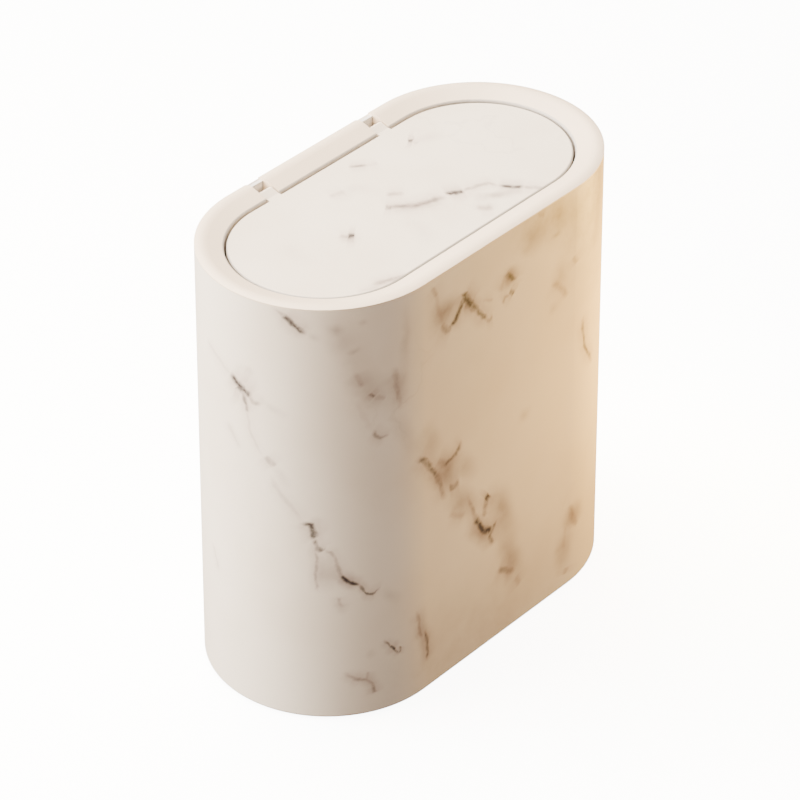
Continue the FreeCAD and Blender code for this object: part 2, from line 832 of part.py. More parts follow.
def make_hinge_springs():
    """Torsion springs: a leg down the skirt, the coil round the rod, and a leg under the lid's arm."""
    radius = size.hinge_coil_radius.number
    pitch = size.hinge_coil_pitch.number
    bend = size.hinge_leg_bend.number
    coil_end = slot_inner - size.bearing_length - size.hinge_coil_gap
    length = pitch * HINGE_COIL_QUARTERS / 4
    run_drop = size.knuckle_radius + size.hinge_leg_gap + size.hinge_wire_radius
    tip = size.slot_place + arm_width / 4 - coil_end
    across = FreeCAD.Vector(1, 0, 0)
    down = FreeCAD.Vector(0, -1, 0)
    along = FreeCAD.Vector(0, 0, 1)
    rear = across * radius
    front = across * -radius + along * length
    corner = front + down * run_drop.number
    arcs = coil_arcs(radius, pitch, HINGE_COIL_QUARTERS)
    edges = [Part.makeLine(rear + down * size.hinge_leg.number, rear)]
    edges += arcs
    edges.append(Part.makeLine(front, corner - down * bend))
    edges.append(tangent_arc(corner - down * bend, corner, corner + along * bend))
    edges.append(Part.makeLine(corner + along * bend, corner + along * tip.number))
    shape = wire_tube("hinge_spring", edges, size.hinge_wire_radius.number, HINGE_COIL_QUARTERS)
    mirrored = shape.mirror(FreeCAD.Vector(0, 0, 0), along)
    turn = FreeCAD.Rotation(FreeCAD.Vector(1, 1, 1), 120)
    start = coil_end.number - length
    parts = []
    for side, form in (("right", shape), ("left", mirrored)):
        place = FreeCAD.Vector(start * SIDES[side], hinge_y.number, hinge_z.number)
        parts.append(add_wire_part(f"hinge_spring_{side}", form, FreeCAD.Placement(place, turn)))
    return parts


def make_latch_spring():
    radius = size.latch_coil_radius.number
    wire = size.latch_wire_radius.number
    ends = size.latch_wire_radius + size.latch_coil_gap
    length = plunger_bore_top - cap_top - ends * 2
    pitch = length.number * 4 / LATCH_COIL_QUARTERS
    arcs = coil_arcs(radius, pitch, LATCH_COIL_QUARTERS)
    shape = wire_tube("latch_spring", arcs, wire, LATCH_COIL_QUARTERS)
    place = FreeCAD.Vector(0, latch_y.number, (cap_top + ends).number)
    return add_wire_part("latch_spring", shape, FreeCAD.Placement(place, FreeCAD.Rotation()))


def make_parts():
    parts = [make_shell(), make_base()]
    parts += make_pads()
    parts += [make_collar(), make_lid_cover(), make_lid_liner()]
    parts += [make_strike_plate(), make_housing(), make_end_cap(), make_plunger(), make_magnet()]
    parts.append(make_rod())
    parts.append(make_screws("latch_screws", latch_screw_places, housing_neck, size.latch_screw_length))
    parts.append(make_screws("strike_screws", strike_screw_places, strike_foot, size.strike_screw_length))
    liner_seat = lid_foot + size.screw_head_height
    parts.append(make_screws("liner_screws", liner_screw_places, liner_seat, size.liner_screw_length))
    parts += make_hinge_springs()
    parts.append(make_latch_spring())
    return parts


def check_and_write(parts):
    doc.recompute()
    for item in doc.Objects:
        if {"Invalid", "Error"} & set(item.State):
            raise RuntimeError(f"{item.Label} failed: {item.State}")
    for part in parts:
        if part.Shape.isNull() or not part.Shape.isValid():
            raise RuntimeError(f"{part.Label} has no valid shape")
    os.makedirs("parts", exist_ok=True)
    for part in parts:
        part.Shape.exportStep(f"parts/{part.Label}.step")
        print(f"{part.Label}: {len(part.Shape.Solids)} solid, {part.Shape.Volume:.0f} cubic mm")


check_and_write(make_parts())
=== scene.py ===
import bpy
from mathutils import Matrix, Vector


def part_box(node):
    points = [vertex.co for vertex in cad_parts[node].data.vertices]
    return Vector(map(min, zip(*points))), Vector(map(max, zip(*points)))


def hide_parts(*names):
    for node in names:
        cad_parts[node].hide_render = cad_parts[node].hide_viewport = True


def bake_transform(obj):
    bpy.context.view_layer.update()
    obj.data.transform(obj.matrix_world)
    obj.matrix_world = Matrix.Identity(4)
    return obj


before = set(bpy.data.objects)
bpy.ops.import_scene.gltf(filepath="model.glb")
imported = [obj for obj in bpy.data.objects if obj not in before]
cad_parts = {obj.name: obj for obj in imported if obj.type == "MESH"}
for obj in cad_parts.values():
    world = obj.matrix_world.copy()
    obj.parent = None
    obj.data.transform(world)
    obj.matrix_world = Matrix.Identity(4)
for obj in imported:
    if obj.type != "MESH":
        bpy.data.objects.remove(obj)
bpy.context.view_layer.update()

import math

import bmesh
import bpy
from bpy.props import FloatProperty, FloatVectorProperty, IntProperty, PointerProperty
from mathutils import Matrix, Vector

bl_info = {
    "name": "Mini Waste Bin",
    "version": (1, 0, 0),
    "blender": (4, 5, 0),
    "location": "View3D > Sidebar > Mini Bin",
    "description": "Finishes of a marble-print mini bin with a press-to-open lid, and its studio",
    "category": "Object",
}

MM = 0.001

# Sizes that come from the frame

SHELL_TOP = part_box("bin_shell")[1].z
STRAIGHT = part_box("collar")[1].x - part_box("collar")[1].y
TOP_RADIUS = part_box("collar")[1].y
FOOT_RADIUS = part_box("bin_shell")[1].y
LID_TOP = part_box("lid_cover")[1].z
LID_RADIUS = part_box("lid_cover")[1].x - STRAIGHT

# The print: sizes of its features, the shares of a stroke over which it fades in and out, the
# distance over which clouds fade before the seam, and how deep the shell's outside counts

DRIFT_SIZE = 55 * MM
# Painted shade: how high up and how dark the ground darkens towards the foot, where light falls
# off low on the shell
PAINTED_FOOT_SHADE_HEIGHT = 90 * MM
PAINTED_FOOT_SHADE_TONE = 0.55
MOTTLE_SIZE = 12 * MM
HAIR_SIZE = 40 * MM
HAIR_PATCH_SIZE = 70 * MM
HAIR_WIDTH = 0.016
VEIN_GRAIN_SIZE = 2.8 * MM
VEIN_GLOSS_LOSS = 0.08
CORE_REACH = 1.15
HALO_REACH = 3.2
FINE_WANDER_SIZE = 0.25
FINE_WANDER_DEPTH = 0.32
VEIN_FADE = 0.2
CLOUD_FADE = 0.45
SEAM_FADE = 20 * MM
OUTSIDE_DEPTH = 0.8 * MM
FILM_GRAIN_SIZE = 1.1 * MM
FILM_GRAIN_DEPTH = 0.02 * MM

# The plain finishes

LID_GAP = 0.8 * MM
FLOW_SIZE = 30 * MM
FLOW_TONE = 0.965
MOULD_GRAIN_DEPTH = 0.03 * MM
DUST_SIZE = 4 * MM
DUST_TONE = (0.06, 0.06, 0.058)
RUBBER_GRAIN_SIZE = 0.6 * MM
RUBBER_GRAIN_DEPTH = 0.08 * MM
STREAK_SIZE = 0.6 * MM
STREAK_DEPTH = 0.01 * MM
BLOTCH_SIZE = 4 * MM
BLOTCH_TONE = 0.72
EVEN = (1.0, 1.0, 1.0)
ALONG_ROD = (0.05, 1.0, 1.0)
ALONG_PLATE = (0.06, 1.0, 1.0)
ALONG_SCREW = (1.0, 1.0, 0.3)

# The latch spring's mesh

WIRE_SIDES = 12
COIL_STEPS = 24

# The stage: where the lights and the camera look, how far the camera is shifted from there, and
# the floor's half side

MIDDLE = Vector((0.0, 0.0, 90 * MM))
SHIFT_RIGHT = 1.113 * MM
SHIFT_UP = 1.479 * MM
SENSOR_WIDTH = 36.0
FLOOR_REACH = 6.0

# Strokes of the marble print, drawn one by one. Each has its places in millimetres, its half width
# and its darkness. On the shell a place is (distance round the shell from the middle of the front,
# height), and on the lid it is (x, y). The shell's print repeats after half a turn.

SHELL_VEINS = {
    "shoulder line": ([(-101, 179.2), (-96.2, 175.8), (-92.7, 173.1), (-88.1, 169.4)], 1.3, 0.5),
    "shoulder heart": ([(-97.4, 176.7), (-93, 173.1), (-90.8, 171.3), (-88.1, 169.1)], 2.0, 0.95),
    "star tail": ([(-133.9, 151.4), (-126, 147), (-121.9, 145), (-116.9, 142.7)], 1.7, 0.26),
    "star": (
        [(-119, 144.4), (-115.6, 141.8), (-114, 140.7), (-111.8, 140.1), (-109.4, 138.1)],
        2.8,
        1.0,
    ),
    "star heart": ([(-115.9, 141.6), (-114, 140.8), (-112.4, 139.9)], 4.2, 1.0),
    "star right": ([(-111.5, 139.7), (-108.8, 136.8), (-105.1, 136.2)], 2.0, 0.55),
    "star root": ([(-114, 141), (-112.5, 136.9), (-111.3, 133.8), (-110.9, 130.4)], 1.7, 0.75),
    "star run": (
        [(-111.6, 134.9), (-110.8, 128.6), (-109.7, 123), (-106.9, 118.1), (-104.7, 114)],
        1.3,
        0.3,
    ),
    "star smear": ([(-104.6, 114.9), (-103, 113.6), (-101.1, 111.4)], 2.3, 0.55),
    "left dash": ([(-122.2, 123.3), (-119, 118.3), (-115.6, 113.9)], 1.5, 0.22),
    "run down": ([(-102.6, 107), (-98.9, 100.7), (-95.3, 96), (-90.8, 89.4)], 1.9, 0.3),
    "stair": ([(-91.8, 89.8), (-87.9, 88.7), (-86.7, 85.4), (-86.7, 81.1)], 2.3, 0.95),
    "stair step": ([(-86.9, 82.3), (-86, 78), (-84.3, 76.9), (-81.8, 79)], 2.2, 0.75),
    "stair edge": ([(-83.5, 78.1), (-81.1, 76.2), (-79.6, 73.1), (-78.2, 68)], 1.5, 0.5),
    "stair run": ([(-79.6, 71.8), (-78.7, 68.6), (-76.2, 64.6)], 1.6, 0.55),
    "stair branch": (
        [(-86.7, 78.6), (-85.5, 71.2), (-85.9, 66.2), (-85.7, 60.5), (-84.5, 58.1)],
        1.3,
        0.5,
    ),
    "black knot": ([(-77.9, 66.8), (-75.5, 64.2), (-74.2, 62.8), (-70.4, 60.7)], 1.4, 1.0),
    "black heart": ([(-76.2, 64.6), (-74.5, 63), (-72.7, 61.8)], 1.4, 1.0),
    "hook": (
        [(-71.7, 61.8), (-69.9, 59.2), (-68.4, 56.7), (-65.5, 56.4), (-62.5, 58.5)],
        1.4,
        0.85,
    ),
    "low smear": ([(-78.5, 57), (-78, 54.1), (-77.1, 51.2)], 1.5, 0.42),
    "low knot": ([(-62.1, 34.1), (-59.5, 30.2), (-56.6, 24.8), (-55.4, 23)], 1.2, 0.7),
    "low heart": ([(-59.5, 30.4), (-58.4, 28.7), (-57.3, 26.8)], 1.5, 1.0),
    "low tick": ([(-56.9, 24), (-55.4, 24.6), (-54.5, 27.8)], 1.2, 0.7),
    "foot hook": (
        [(-76.6, 21.8), (-72.5, 18.4), (-68.6, 17.2), (-66.8, 14.8), (-65.2, 9.1)],
        1.5,
        0.5,
    ),
    "foot heart": ([(-73.8, 19.2), (-72.3, 18.2), (-70.2, 17.6)], 1.8, 0.6),
    "foot end": ([(-66.5, 13.1), (-65.7, 9.2)], 1.6, 0.6),
    "foot twig": ([(-67.9, 21.3), (-68.6, 16.9)], 1.4, 0.35),
    "foot vein": ([(-48, 40), (-46.3, 34.5), (-45, 28.2), (-44.5, 24.2)], 1.6, 0.5),
    "foot vein end": ([(-42.8, 29.7), (-41.7, 23.4), (-41.4, 18.6), (-40.8, 12.6)], 1.9, 0.75),
    "left veil": ([(-133.6, 63), (-130.5, 56.7), (-128.5, 51)], 1.4, 0.28),
    "band knot": ([(-71.2, 152.2), (-70.2, 150), (-68.5, 146.4)], 2.2, 0.42),
    "band dot": ([(-65.9, 143.2), (-64.8, 142.1), (-63.6, 140.9)], 1.6, 0.7),
    "band spot": ([(-63.8, 141.1), (-62.5, 140.1), (-60.6, 138.7)], 1.9, 0.35),
    "band vertical": ([(-56.1, 151.6), (-55.8, 142.7), (-54.8, 132.2)], 2.2, 0.45),
    "band dash": ([(-66, 127.4), (-63.7, 124.5), (-61.2, 122.8), (-58.5, 122.6)], 1.6, 0.6),
    "band curve": ([(-71.5, 141.1), (-68.8, 134.6), (-65.5, 126.7)], 1.9, 0.16),
    "peak left": ([(-39.3, 177.7), (-37.4, 173.3), (-34.3, 162.8), (-32.4, 155.9)], 2.4, 0.3),
    "peak start": ([(-38.9, 176.4), (-37.5, 173.7), (-36.1, 170.1)], 2.4, 0.5),
    "peak foot": ([(-34.3, 158.7), (-30.8, 154.3), (-26.6, 154.2)], 2.9, 0.6),
    "peak rise": ([(-29.7, 154), (-25.8, 155.9), (-23.9, 158.2), (-21.2, 163.9)], 2.1, 0.95),
    "peak heart": ([(-23.3, 163.8), (-20.7, 162.8), (-17.7, 159.3), (-15.3, 156.9)], 3.1, 0.95),
    "peak top": ([(-21.6, 165.9), (-20.7, 163.4), (-21.4, 159.9)], 2.6, 0.9),
    "peak fall": ([(-18.5, 160.8), (-14.1, 155.1), (-11.7, 151.3), (-6.6, 146.6)], 2.0, 0.8),
    "peak under": ([(-22, 160.5), (-17.7, 157.8), (-12.1, 152.4)], 2.1, 0.6),
    "peak tail": ([(-8.9, 147.8), (-6.6, 146.6), (-4.2, 147.8)], 1.9, 0.5),
    "peak twig": ([(-12.2, 155.9), (-9, 156.3), (-4.7, 154.5)], 1.6, 0.3),
    "spot": ([(5.9, 163.4), (3.1, 161.8), (6, 158.9), (8, 155.8)], 2.6, 0.85),
    "spot left": ([(3.1, 162.7), (1.2, 159.5), (-0.2, 155.4)], 2.4, 0.4),
    "spot foot": ([(4.9, 152.2), (1.7, 152.4), (0.1, 149.9)], 1.9, 0.5),
    "spot dot": ([(4.4, 154), (5.9, 152.4), (7.3, 150.8)], 2.2, 0.8),
    "corner dot": ([(19.5, 178.7), (24, 176.6)], 2.1, 0.45),
    "edge dot": ([(41.4, 150.5), (42.3, 148.2), (43.4, 146.2)], 2.4, 0.42),
    "edge smear": ([(28.8, 145.7), (33.9, 141.4), (36.4, 138.1), (38.2, 134.1)], 2.6, 0.45),
    "edge line": ([(47.8, 121.9), (49.1, 113.8), (50.2, 107.6), (56.5, 95.3)], 2.0, 0.75),
    "edge heart": ([(48.9, 115.1), (49.6, 110.4), (50.6, 105.8)], 1.9, 0.7),
    "crotch left": ([(-47.6, 108.4), (-41.7, 102.6), (-37.4, 98.1), (-35.4, 93)], 2.3, 0.8),
    "crotch stem": ([(-37.4, 98.4), (-35, 92.2), (-33.1, 86.8), (-31.1, 80.7)], 2.5, 0.6),
    "crotch right": ([(-33.9, 96.5), (-29.5, 97.3), (-25.6, 98.2), (-21.6, 102.6)], 2.4, 0.72),
    "crotch dot": ([(-29.1, 85.7), (-25.5, 84.9), (-22.3, 85.9)], 3.0, 0.72),
    "crotch web": ([(-36.6, 101.7), (-32.3, 98.1), (-29.5, 95.4)], 3.2, 0.45),
    "claw left": (
        [(-18.7, 77), (-16.2, 69.4), (-14.1, 63.1), (-8.7, 56), (-3.8, 51.3)],
        2.0,
        0.55,
    ),
    "claw heart": ([(-15.3, 64.1), (-12, 59.8), (-7.9, 55.3), (-3.3, 51.4)], 2.8, 0.95),
    "claw middle": ([(-5.6, 70.2), (-7.2, 68.3), (-8.4, 65.1), (-8.9, 60.3)], 2.9, 0.62),
    "claw knot": ([(-5.2, 69.7), (-6.8, 68.9), (-8.2, 67.5)], 3.0, 0.9),
    "claw right": ([(-2, 56.8), (-3.8, 53.2), (-5.4, 51.2), (-2.7, 45.2)], 2.2, 0.7),
    "claw dash": ([(-1.4, 32.7), (4, 29.6), (9.5, 25.8)], 2.4, 0.65),
    "claw end": ([(10.2, 23.2), (12.6, 17.2)], 2.9, 0.35),
    "claw link": ([(-29.5, 73.5), (-25, 70.5), (-19, 67.6)], 2.4, 0.35),
    "wing": ([(42.8, 38.5), (44.3, 32.1), (47.9, 25.9)], 3.0, 0.5),
    "wing stem": ([(41.3, 31.8), (39.4, 23.6), (38.3, 17.5)], 2.4, 0.25),
    "wing foot": ([(41.1, 9.9), (40.1, 6.4)], 2.9, 0.4),
}

SHELL_CLOUDS_AND_PAINTED_SHADE = {
    "shoulder cloud": ([(-81.9, 179.2), (-78.1, 172.7), (-72.9, 161.2), (-68.4, 153.4)], 8.8, 0.3),
    "shoulder blob": ([(-77.9, 173.9), (-77.9, 168.1)], 3.6, 0.4),
    "shoulder mark": ([(-69.5, 175.1), (-68, 171.3)], 2.6, 0.25),
    "shoulder tail": ([(-88.8, 169.5), (-83, 166.6)], 2.6, 0.25),
    "band": ([(-73.8, 162.5), (-70.5, 150.9), (-63.8, 141.1), (-55.5, 130.7)], 9.6, 0.34),
    "band blob": ([(-72.6, 162.9), (-71.6, 159.9)], 3.6, 0.32),
    "band right": ([(-60, 148.3), (-54.9, 144.7), (-54.3, 133.8)], 5.7, 0.32),
    "band foot": ([(-57.4, 135.5), (-52.4, 120.7), (-45.3, 107.4)], 6.0, 0.22),
    "seam cloud": ([(-51.7, 177.1), (-50.9, 164.4), (-52.3, 144.1)], 3.1, 0.2),
    "peak fill": ([(-33.2, 168.6), (-30.1, 161.9), (-30.1, 156.6)], 9.2, 0.75),
    "peak veil": ([(-38.5, 172.4), (-33.9, 160.2), (-30.8, 150.4)], 9.1, 0.3),
    "peak shade": ([(-23.2, 166.6), (-18.5, 159.6), (-12.9, 154)], 5.3, 0.5),
    "spot halo": ([(5.9, 164.9), (5.2, 158.7), (4.1, 153.9)], 6.1, 0.62),
    # Painted shade: these three wide soft strokes darken the upper right corner, the right edge
    # and the foot, where light falls off; they are not clouds of the print
    "corner painted shade": ([(0, 186), (28, 174), (56, 158)], 18.0, 0.55),
    "edge painted shade": ([(40, 212), (57, 176), (68, 126)], 30.0, 0.75),
    "foot painted shade": ([(-92, 2), (-18, 6), (56, 2)], 42.0, 0.3),
    "corner cloud": ([(10.4, 175.6), (17.7, 169.8), (25, 166.4)], 8.5, 0.51),
    "corner veil": ([(26.5, 172.2), (35.4, 172.1), (38.6, 174.8)], 7.6, 0.47),
    "corner spot": ([(30.7, 166.6), (31.4, 163.3)], 3.8, 0.53),
    "edge veil": ([(28.7, 150.9), (38.8, 142.4), (41.2, 144.8)], 8.5, 0.31),
    "edge drop": ([(30.7, 136.6), (30.5, 130.6)], 3.9, 0.2),
    "crotch top": ([(-43.2, 120.5), (-40.1, 111.5), (-35.4, 101.7)], 7.6, 0.43),
    "crotch cloud": ([(-37.8, 103), (-30.7, 93), (-25.1, 84.3)], 9.9, 0.75),
    "crotch side": ([(-23.6, 97.8), (-19.6, 90.7), (-13.9, 81.3)], 6.1, 0.35),
    "claw join": ([(-30.7, 85.5), (-22.7, 76.1), (-12.1, 65.2)], 9.1, 0.5),
    "claw cloud": ([(-8.9, 73.6), (-0.7, 65.3), (2.8, 53.8), (8.1, 37.9)], 9.1, 0.62),
    "claw shade": ([(-17.8, 63.3), (-9.5, 54.8), (-3.7, 47.1)], 6.8, 0.56),
    "claw foot": ([(2.9, 46.6), (7.3, 33.7), (11.8, 18.7)], 8.3, 0.62),
    "upper smear": ([(14.4, 98.9), (13.7, 91.1)], 4.6, 0.24),
    "wing cloud": ([(44.1, 38.1), (45.8, 26.5)], 7.6, 0.5),
    "wing low": ([(42.2, 28.6), (39.1, 19.7), (38.5, 8)], 7.6, 0.45),
    "foot cloud": ([(-46.5, 42.9), (-43.4, 26.3), (-41.1, 10)], 4.8, 0.4),
    "hook cloud": ([(-75.6, 21.8), (-68.4, 17.2), (-64.1, 8.1)], 4.7, 0.26),
    "stair cloud": ([(-84.5, 75), (-82.6, 67.5), (-80.7, 58.7)], 5.4, 0.38),
    "knot cloud": ([(-81.1, 68.7), (-76.7, 64.7), (-68.6, 58.9)], 4.1, 0.4),
    "low cloud": ([(-79.8, 53.6), (-75.3, 48.7)], 3.6, 0.25),
    "low mark": ([(-69.3, 30.4), (-65.6, 27.5)], 3.1, 0.18),
    "hook right": ([(-63.3, 58.1), (-57.7, 51.6), (-53.5, 47.9)], 3.6, 0.18),
    "star veil": ([(-107, 138.9), (-99.4, 135.8), (-94.3, 133.3)], 2.6, 0.18),
    "star shade": ([(-116, 149.6), (-110.3, 149), (-107.5, 144.7)], 3.1, 0.14),
    "left shade": ([(-122.6, 124.9), (-118.9, 119.6), (-115.6, 113.9)], 3.1, 0.14),
    "run shade": ([(-103, 113.3), (-98.3, 107.9), (-93.7, 102.7)], 3.1, 0.2),
}

LID_VEINS = {
    "main start": ([(-10.2, 1.5), (-5.3, -4.5), (-1.2, -7.4), (4, -9.5), (10.9, -12.4)], 2.8, 0.7),
    "main dot": ([(-9.6, 0.9), (-8.8, -0.6), (-7.5, -2)], 2.8, 0.7),
    "main thick": ([(-6.8, -3.6), (-3.4, -6.4), (-0.1, -8.7)], 3.4, 0.5),
    "main knot": ([(10.8, -10.6), (13.6, -12.6), (17.4, -14.1)], 2.6, 1.0),
    "main tail": ([(15.2, -13.1), (20.6, -15.1), (27.6, -17.2), (29, -22.5)], 2.2, 0.55),
    "main run": ([(28.2, -20.3), (30.6, -24.8), (33.8, -30.1)], 2.5, 0.95),
    "main end": ([(32.5, -28.2), (34.9, -32), (38, -37.2)], 2.2, 0.5),
    "upper dash": ([(-3.3, 6), (-0.7, 3.8), (1.8, 0.8)], 2.2, 0.5),
    "rear dot": ([(31, 24.7), (31.7, 23.7), (32.3, 22.5)], 2.6, 1.0),
    "rear tail": ([(31.8, 23), (32.2, 19.7)], 1.8, 0.3),
    "fork dot": ([(11.4, -25.6), (13.3, -27.5), (15.8, -29)], 3.2, 0.35),
    "speck": ([(-33.5, -1.9), (-32.4, -3.2), (-31.4, -4.7)], 2.9, 1.0),
    "speck tail": ([(-35.7, 0.1), (-32.8, -2.8), (-30.4, -3.8)], 2.1, 0.55),
    "rear dash": ([(3.2, 28.5), (5.5, 26.1), (8.4, 23.4)], 2.0, 0.7),
    "rear dash end": ([(6.5, 24.9), (9.2, 23.3), (12.4, 22)], 2.1, 0.25),
    "left dash": ([(-18.1, 20.3), (-14.6, 19), (-10.5, 17.7)], 2.3, 0.35),
    "front dash": ([(-52.7, -30), (-44.1, -33.3), (-37.7, -35.8)], 2.0, 0.6),
    "front twin": ([(-58.5, -28.9), (-54, -31.1), (-49.6, -32.7)], 1.8, 0.25),
}

LID_CLOUDS = {
    "main shade": ([(-9.9, -0.4), (-2.7, -7.3), (9.2, -12.3)], 4.5, 0.4),
    "fork shade": ([(14.2, -19), (20.4, -23.8), (26.2, -27.7), (31.6, -29.7)], 3.8, 0.55),
    "fork foot": ([(11.2, -22.8), (13.5, -27.4), (18, -30)], 3.5, 0.32),
    "speck shade": ([(-37.5, -0.7), (-33.2, -4), (-28.5, -6.1)], 4.6, 0.25),
    "rear shade": ([(31.5, 23.1), (38.4, 20.1), (44.5, 16.4)], 4.6, 0.2),
    "front shade": ([(-58.7, -28.4), (-49.5, -31.8), (-39.4, -35.4)], 3.4, 0.2),
    "middle veil": ([(-17.9, 19.7), (-7.4, 16.1), (-0.5, 6.3)], 5.2, 0.16),
    "left veil": ([(-48, 15.1), (-55.6, 3.7), (-55.2, -6.9)], 6.5, 0.1),
    "low veil": ([(-11.4, -7.5), (-12, -18), (-20.5, -30.1)], 6.5, 0.14),
}


def opaque(tone, share=1.0):
    """A tone for a colour socket, darkened to a share of itself."""
    return (*[part * share for part in tone], 1.0)


class Wire:
    """A node's output that takes part in arithmetic by adding Math nodes."""

    def __init__(self, graph, socket):
        self.graph = graph
        self.socket = socket

    def __add__(self, other):
        return self.graph.math("ADD", self, other)

    __radd__ = __add__

    def __sub__(self, other):
        return self.graph.math("SUBTRACT", self, other)

    def __rsub__(self, other):
        return self.graph.math("SUBTRACT", other, self)

    def __mul__(self, other):
        return self.graph.math("MULTIPLY", self, other)

    __rmul__ = __mul__

    def __gt__(self, other):
        return self.graph.math("GREATER_THAN", self, other)

    def __abs__(self):
        return self.graph.math("ABSOLUTE", self)


class Graph:
    """A node tree whose nodes are added one by one."""

    def __init__(self, tree):
        self.tree = tree

    def add(self, kind, settings=None, inputs=None, output=0):
        """One node: its settings first, then the values or links of its sockets."""
        node = self.tree.nodes.new(kind)
        for name, value in (settings or {}).items():
            if name == "stops":
                self.set_stops(node.color_ramp, value)
            else:
                setattr(node, name, value)
        for name, value in (inputs or {}).items():
            self.feed(node.inputs[name], value)
        return self.output(node, output) if node.outputs else None

    def output(self, node, name):
        return Wire(self, node.outputs[name])

    def feed(self, socket, value):
        if isinstance(value, Wire):
            self.tree.links.new(value.socket, socket)
        else:
            socket.default_value = value

    def set_stops(self, ramp, stops):
        while len(ramp.elements) < len(stops):
            ramp.elements.new(0.5)
        for element, (position, tone) in zip(ramp.elements, stops):
            element.position = position
            element.color = tone

    def math(self, operation, *values):
        return self.add("ShaderNodeMath", {"operation": operation}, dict(enumerate(values)))

    def vector(self, operation, first, second, output="Vector"):
        inputs = {0: first, 1: second}
        return self.add("ShaderNodeVectorMath", {"operation": operation}, inputs, output)

    def split(self, vector):
        node = self.add("ShaderNodeSeparateXYZ", inputs={"Vector": vector}).socket.node
        return [self.output(node, axis) for axis in "XYZ"]

    def join(self, x, y, z):
        return self.add("ShaderNodeCombineXYZ", inputs={"X": x, "Y": y, "Z": z})

    def noise(self, place, size, detail=3.0, roughness=0.5, output="Fac"):
        """Noise whose blotches are about the given size across, in metres."""
        inputs = {"Vector": place, "Scale": 1 / size, "Detail": detail, "Roughness": roughness}
        return self.add("ShaderNodeTexNoise", inputs=inputs, output=output)

    def smooth(self, value, zero_at, one_at, top=1.0):
        """A soft step from nothing to top."""
        settings = {"interpolation_type": "SMOOTHSTEP"}
        inputs = {"Value": value, "From Min": zero_at, "From Max": one_at, "To Max": top}
        return self.add("ShaderNodeMapRange", settings, {**inputs, "To Min": 0.0}, "Result")

    def blend(self, share, first, second):
        """First where the share is nothing, second where it is one."""
        colours = {"Factor_Float": share, "A_Color": first, "B_Color": second}
        node = self.add("ShaderNodeMix", {"data_type": "RGBA"}).socket.node
        for socket in node.inputs:
            if socket.identifier in colours:
                self.feed(socket, colours[socket.identifier])
        shown = [socket for socket in node.outputs if socket.identifier == "Result_Color"]
        return Wire(self, shown[0])


class Finish(Graph):
    """A material that ends in its one shader."""

    def __init__(self, name, roughness, metallic=0.0, specular=0.5):
        self.material = bpy.data.materials.new(name)
        self.material.use_nodes = True
        super().__init__(self.material.node_tree)
        self.shader = self.tree.nodes["Principled BSDF"]
        self.shader.inputs["Roughness"].default_value = roughness
        self.shader.inputs["Metallic"].default_value = metallic
        self.shader.inputs["Specular IOR Level"].default_value = specular
        self.place = self.add("ShaderNodeTexCoord", output="Object")

    def colour(self, value):
        self.feed(self.shader.inputs["Base Color"], value)

    def roughness(self, value):
        self.feed(self.shader.inputs["Roughness"], value)

    def bump(self, height, depth, strength):
        inputs = {"Height": height, "Distance": depth, "Strength": strength}
        self.feed(self.shader.inputs["Normal"], self.add("ShaderNodeBump", inputs=inputs))

    def dress(self, *nodes):
        for name in nodes:
            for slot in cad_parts[name].material_slots:
                slot.material = self.material


# The marble print

def stroke_frame(places):
    """A stroke's places in metres, its chord's two directions and the chord's length."""
    points = [Vector(place) * MM for place in places]
    run = points[-1] - points[0]
    along = run.normalized()
    return points, along, Vector((-along.y, along.x)), run.length


def stroke_stops(points, along, across, chord, darkness, fade):
    """Stops along the chord: grey is the stroke's sway from it, alpha how dark it is there."""
    offsets = [point - points[0] for point in points]
    bends = [(offset.dot(along) / chord, offset.dot(across) / chord) for offset in offsets]
    places = sorted({place for place, _ in bends} | {fade, 1 - fade})
    stops = []
    for place in places:
        (low, first), (high, second) = next(
            pair
            for pair in zip(bends, bends[1:])
            if place <= pair[1][0] or pair[1] is bends[-1]
        )
        sway = 0.5 + first + (second - first) * (place - low) / (high - low)
        rise = min(1.0, place / fade, (1 - place) / fade)
        stops.append((place, (sway, sway, sway, max(rise, 0.0) * darkness)))
    return stops


def stroke_group(name, places, width, darkness, halo):
    """A node group that adds one stroke to the surface's third part, the darkness so far."""
    tree = bpy.data.node_groups.new(name.replace(" ", "_"), "ShaderNodeTree")
    for way in ("INPUT", "OUTPUT"):
        tree.interface.new_socket("Surface", in_out=way, socket_type="NodeSocketVector")
    graph = Graph(tree)
    surface = graph.add("NodeGroupInput", output="Surface")
    points, along, across, chord = stroke_frame(places)
    down_chord = graph.vector("DOT_PRODUCT", surface, (*along / chord, 0.0), "Value")
    off_chord = graph.vector("DOT_PRODUCT", surface, (*across / chord, 0.0), "Value")
    so_far = graph.vector("DOT_PRODUCT", surface, (0.0, 0.0, 1.0), "Value")
    place = down_chord - points[0].dot(along) / chord
    fade = VEIN_FADE if halo else CLOUD_FADE
    stops = stroke_stops(points, along, across, chord, darkness, fade)
    sway = graph.add("ShaderNodeValToRGB", {"stops": stops}, {"Fac": place}, "Color")
    dark = graph.output(sway.socket.node, "Alpha")
    away = abs(off_chord + (0.5 - points[0].dot(across) / chord) - sway)
    reach = width * MM / chord
    if halo:
        core = graph.smooth(away, reach * CORE_REACH, 0.0)
        shade = graph.smooth(away, reach * HALO_REACH, 0.0, halo)
        mask = graph.math("MAXIMUM", core, shade) * dark
        more = graph.math("MAXIMUM", mask - so_far, 0.0)
    else:
        more = graph.smooth(away, reach, 0.0) * dark * (1 - so_far)
    darker = graph.vector("ADD", surface, graph.join(0.0, 0.0, more))
    graph.add("NodeGroupOutput", inputs={"Surface": darker})
    return tree


